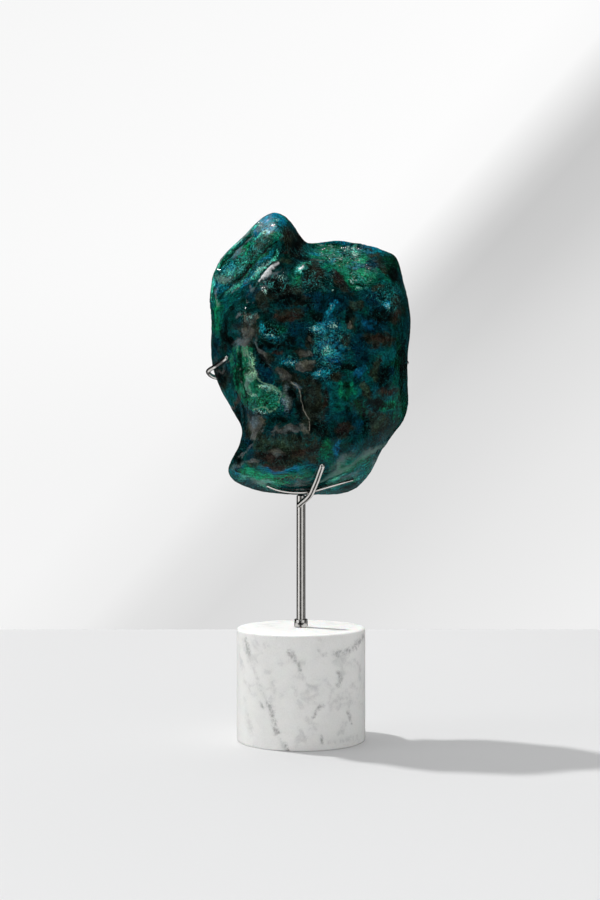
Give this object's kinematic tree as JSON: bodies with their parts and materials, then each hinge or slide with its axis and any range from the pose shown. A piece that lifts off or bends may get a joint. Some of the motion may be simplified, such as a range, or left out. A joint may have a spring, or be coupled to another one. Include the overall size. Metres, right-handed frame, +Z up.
{
  "type": "chrysocolla specimen on stand",
  "caption": "Polished freeform chrysocolla stone in blue, green and brown, held by bent metal rods on an upright post that stands in a round marble base.",
  "frame": {"origin": "centre of the marble base's underside, on the surface that it stands on", "axes": "+Z up along the post, +X to the right and -Y towards the viewer, seen from the stone's front"},
  "size_m": [0.1605, 0.1047, 0.4101],
  "materials": {
    "chrysocolla": "polished, glossy",
    "marble": "honed, satin",
    "steel": "polished"
  },
  "bodies": {
    "root": {"stone": "chrysocolla", "marble_base": "marble", "collar": "steel", "post": "steel", "front_prong": "steel", "cradle_bar": "steel", "back_stay": "steel", "left_arm": "steel", "right_arm": "steel"}
  },
  "joints": []
}
